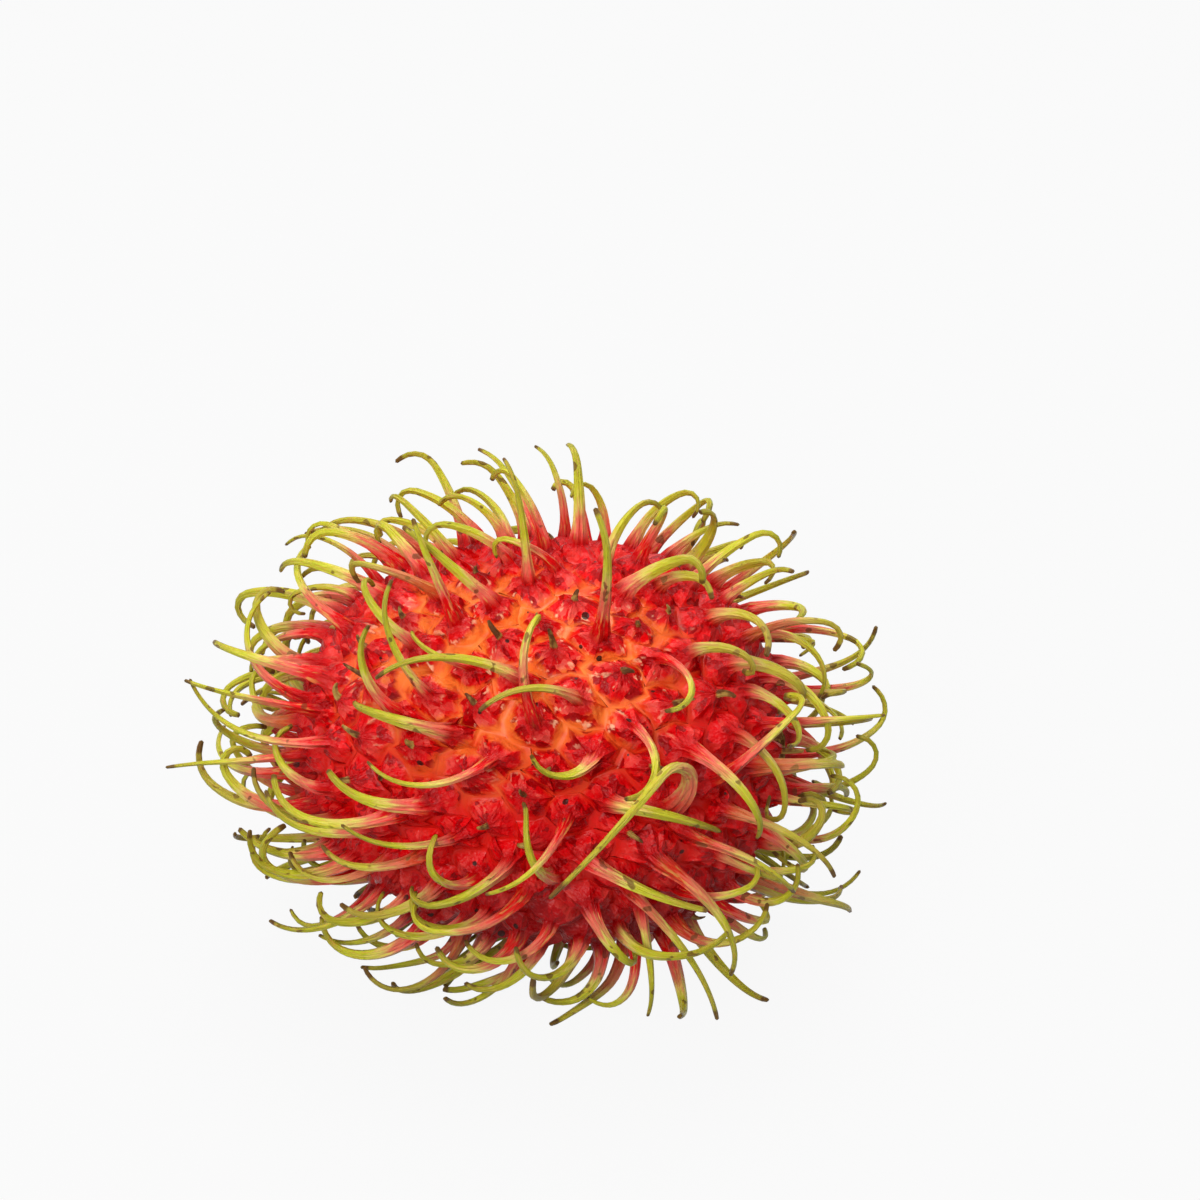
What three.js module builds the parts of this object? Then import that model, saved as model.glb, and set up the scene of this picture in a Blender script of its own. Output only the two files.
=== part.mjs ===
// A rambutan, picked and lying on its side. It grew as one piece, so it is one solid: a rind made of
// low mounds, on each mound a soft spine that tapers, curls over and ends in a fine tip, and at one
// end the woody scar where the fruit hung from its stalk.
//
// Millimetres and degrees, +Z up. +X runs along the fruit towards the scar, and -Y is its front. The
// origin is on the surface that the fruit lies on, under the middle of its box.

import * as THREE from "three";
import { ConvexHull } from "three/addons/math/ConvexHull.js";

const { lerp, smoothstep, degToRad } = THREE.MathUtils;
const X = new THREE.Vector3(1, 0, 0);
const UP = new THREE.Vector3(0, 0, 1);

// The rind, measured at the foot of its mounds.
const RIND_LENGTH = 46.5;
const RIND_WIDTH = 37;
const FULLNESS = 2.2; // 2 is an ellipsoid, and more is boxier
const EGG = 0.04; // how much fuller the scar's end is
const CLEARANCE = 4.6; // between the rind and the surface, taken up by bent spines
const HALF = new THREE.Vector3(RIND_LENGTH, RIND_WIDTH, RIND_WIDTH).multiplyScalar(0.5);
const MIDDLE = new THREE.Vector3(0.35, 2.1, HALF.z + CLEARANCE); // of the rind

// The mounds. Each stands on a site, and the sites follow a spiral from end to end.
const SITE_COUNT = 320;
const SITE_JITTER = 0.035; // of the rind's radius
const GOLDEN_ANGLE = Math.PI * (3 - Math.sqrt(5));
const MOUND_SHARE = 0.42; // a mound's radius, as a share of the way to its nearest neighbour
const MOUND_HEIGHT = 1.3;

// The spines.
const SPINE_LENGTH = 14;
const STUB_LENGTH = 2.8; // what is left of a spine that has dried and broken off
const COLLAR_RADIUS = 0.95; // where a spine leaves its mound
const SHAFT_RADIUS = 0.52;
const TIP_RADIUS = 0.25;
const TOP_SHARE = 0.82; // a spine's length on the top, as a share of the length elsewhere
const GAP = 0.25; // kept between two spines
const LANDING = 3; // how near a surface a spine starts to turn along it
const SETTLE = 0.7; // how far below the surface the weight of the fruit drives a spine's course
const PRESSED = 0.2; // the least height of a spine's middle, as a share of its radius
const STEP = 0.5; // along a growing spine
const STUMP_STEPS = 5; // the start of a spine, which only its own heading can move
const TURNS = [0, 13, -13, 26, -26, 39, -39, 52, -52, 65, -65, 80, -80]; // ways round a neighbour
const TRIMS = [1, 0.8, 0.6, 0.45, 0.3]; // a spine with no way round is this share of its length

// How the spines are combed: away from a parting to the left and to the right, curling clockwise.
const PARTING = 0.2; // how far along the fruit the spines part
const LOW_PARTING = 0.6; // the same for the lowest spines
const PARTING_BREADTH = 0.3; // of the rind's radius
const RISE_ABOVE = 0.15; // how far the comb turns a spine's heading upwards
const RISE_BELOW = -0.1;
const RUFFLE = 35; // how far a heading strays from the comb
const LEAN = 14; // how far off upright a spine leaves its mound
const FRONT_LEAN = 38;
const LEAN_SWING = 14;
const BEND = 105; // how far a spine bends over its length
const TOP_BEND = 50;
const STUB_BEND = 0.4; // a stub's share of that
const BEND_SWING = 40;
const MOST_HOOK = 130; // how much further it may bend near its tip
const TWIST = -45; // how far its heading turns
const TWIST_SWING = 45;

// The faces of a spine.
const SPINE_SIDES = 3;
const SECTION_SWELL = 1.2; // so that a flat-sided section is as wide as a round one
const SPINE_RINGS = [0.24, 0.44, 0.64, 0.83]; // shares of its length above the mound
const STUB_RINGS = [0.75];

// The scar.
const SCAR_SITE = 0;
const SCAR_SIDES = 9;
const SCAR_RADIUS = 1.7;
const SCAR_HEIGHT = 0.9;
const SCAR_HOLLOW = 0.4;

// Spines that stand out on the front, each on the site nearest to its place along the fruit, from -1
// to 1, and around it, where 0 is the top and 90 the front. A heading of 0 runs along +X, and one of
// 90 runs up the front.
const STANDOUTS = [
  { along: -0.02, around: 60, length: 14.5, heading: 224, lean: 62, bend: 12, hook: 20, twist: -90 },
  { along: 0.18, around: 75, length: 13, heading: 240, lean: 38, bend: 50, hook: 0, twist: -50 },
  { along: 0.57, around: 76, length: 28, heading: 35, lean: 60, bend: 20, hook: 0, twist: 180, quick: 0.42 },
  { along: 0.44, around: 51, length: 12, heading: 320, lean: 48, bend: 35, hook: 0, twist: -135 },
  { along: 0.5, around: 29, length: 13.5, heading: 325, lean: 42, bend: 45, hook: 0, twist: -125 },
  { along: 0.3, around: 60, length: 10, heading: 240, lean: 55, bend: 25, hook: 0, twist: -130 },
  { along: 0, around: 38, length: 17, heading: 173, lean: 35, bend: 70, hook: 20, twist: 40 },
  { along: 0.22, around: 42, length: 13, heading: 170, lean: 40, bend: 60, hook: 0, twist: 60 },
  { along: -0.28, around: 25, length: 13, heading: 110, lean: 10, bend: 20, hook: 30, twist: 0 },
  { along: -0.02, around: 14, length: 15, heading: 120, lean: 0, bend: 30, hook: 60, twist: 0 },
  { along: 0.27, around: 20, length: 17, heading: 120, lean: 5, bend: 30, hook: 50, twist: 0 },
  { along: -0.4, around: 44, length: 14, heading: 130, lean: 40, bend: 30, hook: 30, twist: -60 },
  { along: -0.5, around: 56, length: 12, heading: 140, lean: 45, bend: 25, hook: 0, twist: -100 },
  { along: -0.86, around: 50, length: 15, heading: 160, lean: 8, bend: 15, hook: 30, twist: 0 },
  { along: -0.8, around: 64, length: 17, heading: 195, lean: 35, bend: 30, hook: 0, twist: -100 },
  { along: -0.7, around: 36, length: 15, heading: 170, lean: 35, bend: 35, hook: 30, twist: -20 },
  { along: -0.9, around: 80, length: 15, heading: 190, lean: 10, bend: 20, hook: -30, twist: 0 },
  { along: -0.24, around: 78, length: 12, heading: 185, lean: 50, bend: 30, hook: 10, twist: -60 },
  { along: -0.26, around: 86, length: 13, heading: 190, lean: 50, bend: 35, hook: 0, twist: -50 },
  { along: -0.55, around: 88, length: 13, heading: 195, lean: 45, bend: 45, hook: 20, twist: -70 },
  { along: -0.3, around: 100, length: 12, heading: 200, lean: 45, bend: 40, hook: 20, twist: -60 },
  { along: -0.35, around: 112, length: 12, heading: 215, lean: 40, bend: 50, hook: 20, twist: -50 },
  { along: 0.65, around: 88, length: 14, heading: 350, lean: 45, bend: 35, hook: 20, twist: -50 },
  { along: 0.72, around: 80, length: 15, heading: 345, lean: 40, bend: 35, hook: 20, twist: -50 },
  { along: 0.5, around: 92, length: 17, heading: 330, lean: 50, bend: 35, hook: 20, twist: -75 },
  { along: 0.25, around: 92, length: 14, heading: 340, lean: 55, bend: 25, hook: 0, twist: 10 },
  { along: 0.4, around: 100, length: 18, heading: 320, lean: 50, bend: 20, hook: 0, twist: -45 },
  { along: 0.52, around: 108, length: 17, heading: 290, lean: 45, bend: 15, hook: -20, twist: -10 },
  { along: 0.42, around: 114, length: 13, heading: 270, lean: 45, bend: 15, hook: 20, twist: -20 },
  { along: 0.9, around: 37, length: 13, heading: 10, lean: 20, bend: 10, hook: 0, twist: 10 },
  { along: 0.82, around: 26, length: 13, heading: 350, lean: 45, bend: 40, hook: 0, twist: -150 },
];

// A repeatable random number from 0 to 1, the kth that site i draws.
function chance(i, k) {
  const value = Math.sin(i * 12.9898 + k * 78.233) * 43758.5453;
  return value - Math.floor(value);
}

// The same, from -1 to 1.
function swing(i, k) {
  return 2 * chance(i, k) - 1;
}

// The direction from the fruit's middle that is this far along it and around it.
function directionAt(along, around) {
  const reach = Math.sqrt(1 - along * along);
  return new THREE.Vector3(along, -reach * Math.sin(around), reach * Math.cos(around));
}

function siteDirection(i) {
  const nudge = new THREE.Vector3(swing(i, 1), swing(i, 2), swing(i, 3)).multiplyScalar(SITE_JITTER);
  return directionAt(1 - (2 * i + 1) / SITE_COUNT, i * GOLDEN_ANGLE).add(nudge).normalize();
}

// The rind's surface in direction u from the fruit's middle, and which way it faces there.
function rindPoint(u) {
  const sum = Math.abs(u.x) ** FULLNESS + Math.abs(u.y) ** FULLNESS + Math.abs(u.z) ** FULLNESS;
  const girth = 1 + EGG * u.x;
  const point = new THREE.Vector3(u.x, u.y * girth, u.z * girth);
  return point.multiply(HALF).multiplyScalar(sum ** (-1 / FULLNESS)).add(MIDDLE);
}

function rindNormal(u) {
  return u.clone().divide(HALF).normalize();
}

// The heading of a spine combed at u.
function combing(i, u) {
  const parting = lerp(PARTING, LOW_PARTING, smoothstep(-u.z, 0.2, 0.9));
  const outwards = Math.tanh((u.x - parting) / PARTING_BREADTH);
  const rise = lerp(RISE_BELOW, RISE_ABOVE, smoothstep(u.z, 0, 0.5));
  const wind = new THREE.Vector3(outwards, 0.35 * swing(i, 8), rise + 0.3 * swing(i, 9));
  const normal = rindNormal(u);
  const straying = degToRad(RUFFLE * swing(i, 10));
  return wind.projectOnPlane(normal).normalize().applyAxisAngle(normal, straying);
}

// How site i grows: its spine leaves the mound at lean, bends by bend over its length and by hook
// near its tip, and its heading turns by twist, all of that within the first share, quick.
function habit(i, u) {
  const worn = smoothstep(0.65 * u.z - 0.75 * u.y, 0.5, 0.85); // the upper front has lost the most
  const facing = smoothstep(0.54 * u.z - 0.84 * u.y, 0.2, 0.8); // and its spines lie the flattest
  const upright = smoothstep(u.z, 0.4, 0.9);
  const broken = chance(i, 4) < lerp(0.06, 0.72, worn) || i === SITE_COUNT - 1;
  const whole = SPINE_LENGTH * lerp(1, TOP_SHARE, upright);
  return {
    broken,
    length: broken ? STUB_LENGTH * (1 + 0.4 * swing(i, 5)) : whole * (1 + 0.22 * swing(i, 5)),
    heading: combing(i, u),
    lean: lerp(LEAN, FRONT_LEAN, facing) + LEAN_SWING * swing(i, 6),
    bend: (broken ? STUB_BEND : 1) * (lerp(BEND, TOP_BEND, upright) + BEND_SWING * swing(i, 7)),
    hook: broken ? 0 : MOST_HOOK * chance(i, 11) ** lerp(1.5, 0.8, upright) * smoothstep(u.z, -0.9, -0.3),
    twist: TWIST + TWIST_SWING * swing(i, 12),
    quick: 1,
    girth: 1 + 0.18 * swing(i, 13),
  };
}

function makeSites() {
  const sites = Array.from({ length: SITE_COUNT }, (_, i) => {
    const u = siteDirection(i);
    return { u, normal: rindNormal(u), root: rindPoint(u), standsOut: false, ...habit(i, u) };
  });
  for (const { along, around, heading, ...shape } of STANDOUTS) {
    const aim = directionAt(along, degToRad(around));
    const site = sites.reduce((a, b) => (a.u.angleTo(aim) < b.u.angleTo(aim) ? a : b));
    const start = X.clone().projectOnPlane(site.normal).normalize();
    start.applyAxisAngle(site.normal, degToRad(heading));
    Object.assign(site, { quick: 1 }, shape, { heading: start, broken: false, standsOut: true });
  }
  for (const site of sites) {
    site.gap = Math.min(...sites.filter((other) => other !== site).map((other) => other.u.angleTo(site.u)));
  }
  return sites;
}

// A spine's radius at share t of its length.
function spineRadius(t) {
  return lerp(COLLAR_RADIUS, lerp(SHAFT_RADIUS, TIP_RADIUS, smoothstep(t, 0.15, 1)), smoothstep(t, 0, 0.3));
}

// Turns a direction that runs into a near surface so that it runs along it. away leaves the surface.
function glide(direction, away, height, along) {
  const lost = Math.max(0, -direction.dot(away)) * (1 - smoothstep(height, 0, LANDING));
  direction.addScaledVector(away, lost).addScaledVector(along, lost).normalize();
}

// A spine's course with its heading turned and its length trimmed: beads that start on the rind.
function grow(site, turn, trim) {
  const { root, normal, broken, length, heading, lean, bend, hook, twist, quick, girth } = site;
  const start = heading.clone().applyAxisAngle(normal, degToRad(turn));
  const side = normal.clone().cross(start);
  const steps = Math.round((length * trim) / STEP);
  const radiusAt = (t) => girth * spineRadius(broken ? 0.3 * t : t);
  const beads = [{ at: root, radius: radiusAt(0) }];
  for (let k = 0; k < steps; k++) {
    const { at, radius } = beads[k];
    const t = (k + 0.5) / steps;
    const risen = smoothstep(k * STEP, 0, 2 * MOUND_HEIGHT);
    const curl = degToRad(lean * risen + bend * t ** 1.4 + hook * smoothstep(t, 0.65, 1));
    const spin = degToRad(twist * Math.min(1, t / quick) ** 1.5);
    const sideways = start.clone().multiplyScalar(Math.cos(spin)).addScaledVector(side, Math.sin(spin));
    const direction = normal.clone().multiplyScalar(Math.cos(curl)).addScaledVector(sideways, Math.sin(curl));
    const u = at.clone().sub(MIDDLE).normalize();
    const height = at.distanceTo(rindPoint(u));
    if (k * STEP > MOUND_HEIGHT) glide(direction, rindNormal(u), height - MOUND_HEIGHT - radius, sideways);
    const level = sideways.clone().setZ(0).normalize();
    glide(direction, UP, at.z + SETTLE, level);
    const next = { at: at.clone().addScaledVector(direction, STEP), radius: radiusAt((k + 1) / steps) };
    next.at.z = Math.max(next.at.z, PRESSED * next.radius);
    beads.push(next);
  }
  return beads;
}

// True if the beads keep clear of every other site's. Two stumps are always clear of each other.
function isClear(beads, site, sites) {
  return sites.every((other) => {
    const reach = (beads.length + other.beads.length) * STEP;
    if (other === site || other.root.distanceTo(site.root) > reach) return true;
    return beads.every(({ at, radius }, k) =>
      other.beads.every((bead, m) => {
        const near = radius + bead.radius + GAP;
        return Math.max(k, m) < STUMP_STEPS || at.distanceToSquared(bead.at) > near * near;
      }),
    );
  });
}

// Grows every spine, the ones that stand out first, each round the ones before it.
function growAll(sites) {
  for (const site of sites) site.beads = grow(site, 0, 1).slice(0, STUMP_STEPS);
  const order = [...sites].sort((a, b) => b.standsOut - a.standsOut);
  for (const site of order) {
    const ways = TRIMS.flatMap((trim) => TURNS.map((turn) => [turn, trim]));
    const way = ways.find(([turn, trim]) => isClear(grow(site, turn, trim), site, sites));
    site.beads = grow(site, ...(way ?? [0, TRIMS.at(-1)]));
  }
}

// A ring of directions at an angle round u, where a mound has its foot.
function footDirections(u, angle, sides) {
  const across = u.clone().cross(X).normalize();
  const rim = u.clone().multiplyScalar(Math.cos(angle)).addScaledVector(across, Math.sin(angle));
  return Array.from({ length: sides }, (_, j) => rim.clone().applyAxisAngle(u, (2 * Math.PI * j) / sides));
}

// A ring of points round centre, square to axis and starting towards across, and not below z = 0.
function ring(centre, axis, across, radius, sides) {
  return Array.from({ length: sides }, (_, j) => {
    const spoke = across.clone().applyAxisAngle(axis, (2 * Math.PI * j) / sides);
    const point = centre.clone().addScaledVector(spoke, radius);
    return point.setZ(Math.max(0, point.z));
  });
}

// The rings of a spine above its foot, and its tip, all turned no more than its course turns.
function spineRings({ beads, normal, broken }, foot) {
  const axis = normal.clone();
  const across = foot[0].clone().sub(beads[0].at).projectOnPlane(axis).normalize();
  const collar = MOUND_HEIGHT / (STEP * (beads.length - 1));
  const shares = [0, ...(broken ? STUB_RINGS : SPINE_RINGS)].map((share) => lerp(collar, 1, share));
  const rings = shares.map((share) => {
    const place = share * (beads.length - 1);
    const k = Math.min(Math.floor(place), beads.length - 2);
    const centre = beads[k].at.clone().lerp(beads[k + 1].at, place - k);
    const radius = SECTION_SWELL * lerp(beads[k].radius, beads[k + 1].radius, place - k);
    const ahead = beads[k + 1].at.clone().sub(beads[k].at).normalize();
    across.applyQuaternion(new THREE.Quaternion().setFromUnitVectors(axis, ahead));
    axis.copy(ahead);
    return ring(centre, axis, across, radius, SPINE_SIDES);
  });
  return [...rings, [beads.at(-1).at]];
}

// The rings of the scar above its foot: a low rim round a hollow.
function scarRings({ root, normal }, foot) {
  const across = foot[0].clone().sub(root).projectOnPlane(normal).normalize();
  const rim = root.clone().addScaledVector(normal, SCAR_HEIGHT);
  const hollow = root.clone().addScaledVector(normal, SCAR_HOLLOW);
  return [ring(rim, normal, across, SCAR_RADIUS, SCAR_SIDES), [hollow]];
}

// Adds the triangles between two rings, or from a ring to a single point.
function addBand(triangles, lower, upper) {
  for (let j = 0; j < lower.length; j++) {
    const next = (j + 1) % lower.length;
    triangles.push(lower[j], lower[next], upper[next] ?? upper[0]);
    if (upper.length > 1) triangles.push(lower[j], upper[next], upper[j]);
  }
}

// The whole skin: the valleys between the mounds' feet, then each mound with what stands on it.
function skinTriangles(sites) {
  const feet = sites.map(({ u, gap }, i) =>
    footDirections(u, MOUND_SHARE * gap, i === SCAR_SITE ? SCAR_SIDES : SPINE_SIDES),
  );
  const triangles = [];
  const owner = new Map(feet.flatMap((foot, i) => foot.map((direction) => [direction, i])));
  const placed = new Map([...owner.keys()].map((direction) => [direction, rindPoint(direction)]));
  for (const { edge } of new ConvexHull().setFromPoints([...owner.keys()]).faces) {
    const corners = [edge.prev, edge, edge.next].map((side) => side.head().point);
    const isValley = corners.some((corner) => owner.get(corner) !== owner.get(corners[0]));
    if (isValley) triangles.push(...corners.map((corner) => placed.get(corner)));
  }
  sites.forEach((site, i) => {
    const foot = feet[i].map((direction) => placed.get(direction));
    const rings = i === SCAR_SITE ? scarRings(site, foot) : spineRings(site, foot);
    [foot, ...rings].reduce((lower, upper) => (addBand(triangles, lower, upper), upper));
  });
  return triangles;
}

function makeRambutan() {
  const sites = makeSites();
  growAll(sites);
  const geometry = new THREE.BufferGeometry().setFromPoints(skinTriangles(sites));
  geometry.computeVertexNormals();
  const skin = new THREE.MeshStandardMaterial({ color: 0xc4161f, roughness: 0.45, metalness: 0 });
  const rambutan = new THREE.Mesh(geometry, skin);
  rambutan.name = "rambutan";
  return rambutan;
}

const fruit = new THREE.Group();
fruit.add(makeRambutan());
export default fruit;
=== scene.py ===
"""A rambutan, picked and lying on its side, dressed over its CAD frame.

The fruit grew as one piece, so one closed skin stands for it: a rind of low mounds with grooves
between them, a soft spine on each mound, and the woody scar where the fruit hung from its stalk.
Each spine grows by the same rule, from the same numbers, as in the CAD, so that every one of them
lies where the frame holds it. Sizes are in millimetres until the skin becomes a mesh in metres.
"""

import logging
import math
from dataclasses import dataclass, field, replace
from enum import Enum, IntEnum
from itertools import product

import bmesh
import bpy
import numpy as np
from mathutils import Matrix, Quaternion, Vector
from mathutils.kdtree import KDTree


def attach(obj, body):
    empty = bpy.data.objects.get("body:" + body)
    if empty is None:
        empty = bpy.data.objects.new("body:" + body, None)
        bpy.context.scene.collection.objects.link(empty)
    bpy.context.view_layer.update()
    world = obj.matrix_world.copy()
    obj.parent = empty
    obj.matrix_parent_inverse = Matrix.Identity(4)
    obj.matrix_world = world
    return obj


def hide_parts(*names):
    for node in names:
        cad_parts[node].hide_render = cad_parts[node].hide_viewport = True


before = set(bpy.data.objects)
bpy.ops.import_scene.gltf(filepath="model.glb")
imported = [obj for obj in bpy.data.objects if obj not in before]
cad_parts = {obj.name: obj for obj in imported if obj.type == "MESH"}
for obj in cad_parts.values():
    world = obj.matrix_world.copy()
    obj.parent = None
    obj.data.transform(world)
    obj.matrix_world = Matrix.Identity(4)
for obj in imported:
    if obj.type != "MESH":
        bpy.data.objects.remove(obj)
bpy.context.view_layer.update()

LOG = logging.getLogger("rambutan")
NODE = "rambutan"
MM = 0.001
FAR = 1e6
MOST_CORNERS = 16
Pair = tuple[float, float]
Triple = tuple[float, float, float]
GOLDEN_ANGLE = math.pi * (3 - math.sqrt(5))
X = Vector((1, 0, 0))
UP = Vector((0, 0, 1))


# ---- Small sums ----


class Draw(IntEnum):
    """What a random draw is for. NUDGE, GRAIN and BORDER are each the first of three."""

    NUDGE = 1
    BREAK = 4
    LENGTH = 5
    LEAN = 6
    BEND = 7
    WIND = 8
    RISE = 9
    RUFFLE = 10
    HOOK = 11
    TWIST = 12
    GIRTH = 13
    FLAT = 21
    RIDGE = 22
    SEED = 23
    GRAIN = 24
    CURL = 27
    BORDER = 28


def chance(i: int, draw: int) -> float:
    """Draws a repeatable random number.

    Args:
        i: The number of the site, or of what else draws it.
        draw: Which of its draws it is.

    Returns:
        A number from 0 to 1.
    """
    value = math.sin(i * 12.9898 + draw * 78.233) * 43758.5453
    return value - math.floor(value)


def swing(i: int, draw: int) -> float:
    """Draws a repeatable random number from -1 to 1, as chance does."""
    return 2 * chance(i, draw) - 1


def shake(i: int, draw: Draw) -> Vector:
    """Draws a repeatable random vector from three draws in a row, each part from -1 to 1."""
    return Vector([swing(i, draw + k) for k in range(3)])


def lerp(a: float, b: float, share: float) -> float:
    """Returns the value that is this share of the way from a to b."""
    return (1 - share) * a + share * b


def smoothstep(value: float, low: float, high: float) -> float:
    """Returns 0 below low, 1 above high, and eases from one to the other between them."""
    share = min(1.0, max(0.0, (value - low) / (high - low)))
    return share * share * (3 - 2 * share)


def turned(vector: Vector, axis: Vector, angle: float) -> Vector:
    """Returns the vector turned by an angle, in radians, about an axis."""
    return Quaternion(axis, angle) @ vector


def on_plane(vector: Vector, normal: Vector) -> Vector:
    """Returns the unit vector that is nearest to this one and square to the normal."""
    return (vector - normal * vector.dot(normal)).normalized()


def direction_at(along: float, around: float) -> Vector:
    """Finds a direction from the fruit's middle.

    Args:
        along: The place along the fruit, from -1 to 1 at the scar.
        around: The angle around the fruit in radians, from the top towards the front.

    Returns:
        The direction.
    """
    reach = math.sqrt(1 - along * along)
    return Vector((along, -reach * math.sin(around), reach * math.cos(around)))


# ---- The fruit's growth ----


@dataclass(frozen=True)
class Rind:
    """The rind under the mounds: a plump egg that is a little boxier than an ellipsoid."""

    length: float = 46.5
    width: float = 37.0
    fullness: float = 2.2
    egg: float = 0.04
    clearance: float = 4.6
    shift: Pair = (0.35, 2.1)

    @property
    def half(self) -> Vector:
        """Half the rind's size along each axis."""
        return Vector((self.length, self.width, self.width)) / 2

    @property
    def middle(self) -> Vector:
        """The rind's middle."""
        return Vector((*self.shift, self.half.z + self.clearance))

    def point(self, u: Vector) -> Vector:
        """Returns the surface point in direction u from the middle."""
        reach = sum(abs(part) ** self.fullness for part in u) ** (-1 / self.fullness)
        girth = 1 + self.egg * u.x
        half = self.half
        grown = Vector((u.x * half.x, u.y * girth * half.y, u.z * girth * half.z))
        return grown * reach + self.middle

    def normal(self, u: Vector) -> Vector:
        """Returns the way that the surface faces in direction u from the middle."""
        half = self.half
        return Vector((u.x / half.x, u.y / half.y, u.z / half.z)).normalized()


@dataclass(frozen=True)
class Habit:
    """How one spine grows. Angles are in degrees.

    It leaves its mound at lean off upright, bends by bend over its length and by hook near its
    tip, and its heading turns by twist, all of that within the first share, quick.
    """

    broken: bool
    length: float
    heading: Vector
    lean: float
    bend: float
    hook: float
    twist: float
    quick: float = 1.0
    girth: float = 1.0
    stands_out: bool = False


@dataclass(frozen=True)
class Standout:
    """A spine that stands out on the front, at its place along and around the fruit.

    Around it, 0 is the top and 90 the front. A heading of 0 runs along +X, and one of 90 runs up
    the front. The rest is as in its habit.
    """

    along: float
    around: float
    length: float
    heading: float
    lean: float
    bend: float
    hook: float
    twist: float
    quick: float = 1.0


STANDOUTS = (
    Standout(-0.02, 60, length=14.5, heading=224, lean=62, bend=12, hook=20, twist=-90),
    Standout(0.18, 75, length=13, heading=240, lean=38, bend=50, hook=0, twist=-50),
    Standout(0.57, 76, length=28, heading=35, lean=60, bend=20, hook=0, twist=180, quick=0.42),
    Standout(0.44, 51, length=12, heading=320, lean=48, bend=35, hook=0, twist=-135),
    Standout(0.5, 29, length=13.5, heading=325, lean=42, bend=45, hook=0, twist=-125),
    Standout(0.3, 60, length=10, heading=240, lean=55, bend=25, hook=0, twist=-130),
    Standout(0, 38, length=17, heading=173, lean=35, bend=70, hook=20, twist=40),
    Standout(0.22, 42, length=13, heading=170, lean=40, bend=60, hook=0, twist=60),
    Standout(-0.28, 25, length=13, heading=110, lean=10, bend=20, hook=30, twist=0),
    Standout(-0.02, 14, length=15, heading=120, lean=0, bend=30, hook=60, twist=0),
    Standout(0.27, 20, length=17, heading=120, lean=5, bend=30, hook=50, twist=0),
    Standout(-0.4, 44, length=14, heading=130, lean=40, bend=30, hook=30, twist=-60),
    Standout(-0.5, 56, length=12, heading=140, lean=45, bend=25, hook=0, twist=-100),
    Standout(-0.86, 50, length=15, heading=160, lean=8, bend=15, hook=30, twist=0),
    Standout(-0.8, 64, length=17, heading=195, lean=35, bend=30, hook=0, twist=-100),
    Standout(-0.7, 36, length=15, heading=170, lean=35, bend=35, hook=30, twist=-20),
    Standout(-0.9, 80, length=15, heading=190, lean=10, bend=20, hook=-30, twist=0),
    Standout(-0.24, 78, length=12, heading=185, lean=50, bend=30, hook=10, twist=-60),
    Standout(-0.26, 86, length=13, heading=190, lean=50, bend=35, hook=0, twist=-50),
    Standout(-0.55, 88, length=13, heading=195, lean=45, bend=45, hook=20, twist=-70),
    Standout(-0.3, 100, length=12, heading=200, lean=45, bend=40, hook=20, twist=-60),
    Standout(-0.35, 112, length=12, heading=215, lean=40, bend=50, hook=20, twist=-50),
    Standout(0.65, 88, length=14, heading=350, lean=45, bend=35, hook=20, twist=-50),
    Standout(0.72, 80, length=15, heading=345, lean=40, bend=35, hook=20, twist=-50),
    Standout(0.5, 92, length=17, heading=330, lean=50, bend=35, hook=20, twist=-75),
    Standout(0.25, 92, length=14, heading=340, lean=55, bend=25, hook=0, twist=10),
    Standout(0.4, 100, length=18, heading=320, lean=50, bend=20, hook=0, twist=-45),
    Standout(0.52, 108, length=17, heading=290, lean=45, bend=15, hook=-20, twist=-10),
    Standout(0.42, 114, length=13, heading=270, lean=45, bend=15, hook=20, twist=-20),
    Standout(0.9, 37, length=13, heading=10, lean=20, bend=10, hook=0, twist=10),
    Standout(0.82, 26, length=13, heading=350, lean=45, bend=40, hook=0, twist=-150),
)


@dataclass(frozen=True)
class Course:
    """The middle line of a spine, from the rind to its tip, and its radius at each point."""

    points: list[Vector]
    radii: list[float]

    def stump(self, steps: int) -> "Course":
        """Returns the first steps of the course alone."""
        return Course(self.points[:steps], self.radii[:steps])


@dataclass
class Site:
    """One mound's place on the rind, and the spine that grows there."""

    index: int
    u: Vector
    normal: Vector
    root: Vector
    habit: Habit
    course: Course | None = None


@dataclass(frozen=True)
class Comb:
    """How the spines lie: combed left and right of a parting, curling clockwise. In degrees.

    The parting is a share of the way along the fruit. The front's spines lean over the most, and
    the ones on the top bend the least. A side is how far up and how far to the front a part of
    the fruit faces, and a zone the two values between which that part begins.
    """

    parting: float = 0.2
    low_parting: float = 0.6
    breadth: float = 0.3
    low_zone: Pair = (0.2, 0.9)
    rise_above: float = 0.15
    rise_below: float = -0.1
    rise_zone: Pair = (0, 0.5)
    wind_swing: float = 0.35
    rise_swing: float = 0.3
    front_side: Pair = (0.54, 0.84)
    front_zone: Pair = (0.2, 0.8)
    bare_side: Pair = (0.65, 0.75)
    bare_zone: Pair = (0.5, 0.85)
    broken_share: Pair = (0.06, 0.72)
    top_zone: Pair = (0.4, 0.9)
    hook_zone: Pair = (-0.9, -0.3)
    hook_power: Pair = (1.5, 0.8)
    ruffle: float = 35.0
    lean: float = 14.0
    front_lean: float = 38.0
    lean_swing: float = 14.0
    bend: float = 105.0
    top_bend: float = 50.0
    stub_bend: float = 0.4
    bend_swing: float = 40.0
    most_hook: float = 130.0
    twist: float = -45.0
    twist_swing: float = 45.0


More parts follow.
